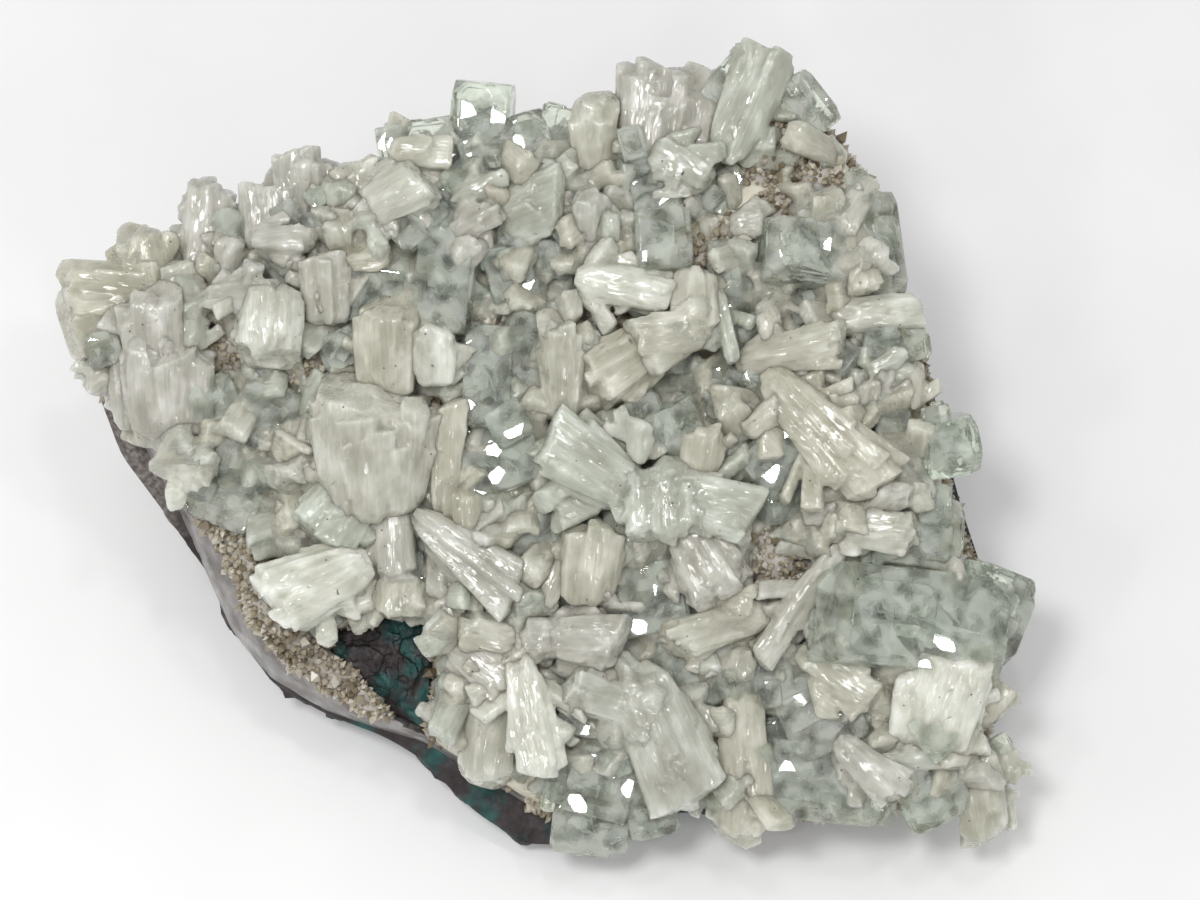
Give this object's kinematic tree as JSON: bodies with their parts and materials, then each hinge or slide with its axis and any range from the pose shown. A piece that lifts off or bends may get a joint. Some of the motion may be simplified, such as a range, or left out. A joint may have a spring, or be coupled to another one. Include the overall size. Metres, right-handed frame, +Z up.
{
  "type": "apophyllite and stilbite crystal cluster on basalt",
  "caption": "Hand specimen of glassy pale green apophyllite and cream stilbite sheaves on a quartz crust over dark basalt, resting on a trimmed flat base.",
  "frame": {"origin": "bottom centre of the bounding box, on the trimmed base", "axes": "+Z up, +X to the right of the crystal face, +Y towards the high back edge; the crystal face slopes down to -Y"},
  "size_m": [0.1632, 0.1224, 0.0765],
  "materials": {
    "basalt": "matte, rough",
    "quartz": "granular, sparkling",
    "stilbite": "pearly, translucent",
    "apophyllite": "glassy, clear to pale green"
  },
  "bodies": {
    "root": {"apophyllite_big_green": "apophyllite", "apophyllite_bottom_group": "apophyllite", "apophyllite_bright": "apophyllite", "apophyllite_centre_green": "apophyllite", "apophyllite_centre_slab": "apophyllite", "apophyllite_clear_left": "apophyllite", "apophyllite_corner_mass": "apophyllite", "apophyllite_green_column": "apophyllite", "apophyllite_green_oval": "apophyllite", "apophyllite_grey_left": "apophyllite", "apophyllite_grey_right": "apophyllite", "apophyllite_pale_column": "apophyllite", "apophyllite_right_edge": "apophyllite", "apophyllite_round": "apophyllite", "apophyllite_rounded_cube": "apophyllite", "apophyllite_tabular": "apophyllite", "apophyllite_teal_block": "apophyllite", "apophyllite_top_blocks": "apophyllite", "apophyllite_top_right": "apophyllite", "basalt_matrix": "basalt", "quartz_crust": "quartz", "stilbite_big_block": "stilbite", "stilbite_big_lower": "stilbite", "stilbite_blue_blade": "stilbite", "stilbite_bow_tie": "stilbite", "stilbite_centre_bow": "stilbite", "stilbite_centre_sheaf": "stilbite", "stilbite_corner_column": "stilbite", "stilbite_cream_lower": "stilbite", "stilbite_diagonal": "stilbite", "stilbite_green_sheaf": "stilbite", "stilbite_hanging_column": "stilbite", "stilbite_jagged_white": "stilbite", "stilbite_left_fingers": "stilbite", "stilbite_left_lobes": "stilbite", "stilbite_lilac_left": "stilbite", "stilbite_lilac_plate": "stilbite", "stilbite_long_blade": "stilbite", "stilbite_long_lower": "stilbite", "stilbite_low_roof": "stilbite", "stilbite_oval": "stilbite", "stilbite_pale_block": "stilbite", "stilbite_pearly_fan": "stilbite", "stilbite_pearly_low": "stilbite", "stilbite_pink_column": "stilbite", "stilbite_pink_finger": "stilbite", "stilbite_right_round": "stilbite", "stilbite_right_white": "stilbite", "stilbite_rounded_centre": "stilbite", "stilbite_rounded_low": "stilbite", "stilbite_rounded_lower": "stilbite", "stilbite_saddle": "stilbite", "stilbite_scalloped": "stilbite", "stilbite_silvery_sheaf": "stilbite", "stilbite_striated": "stilbite", "stilbite_top_cream": "stilbite", "stilbite_top_large": "stilbite", "stilbite_white_block": "stilbite", "stilbite_white_rounded": "stilbite", "stilbite_white_saddle": "stilbite"}
  },
  "joints": []
}
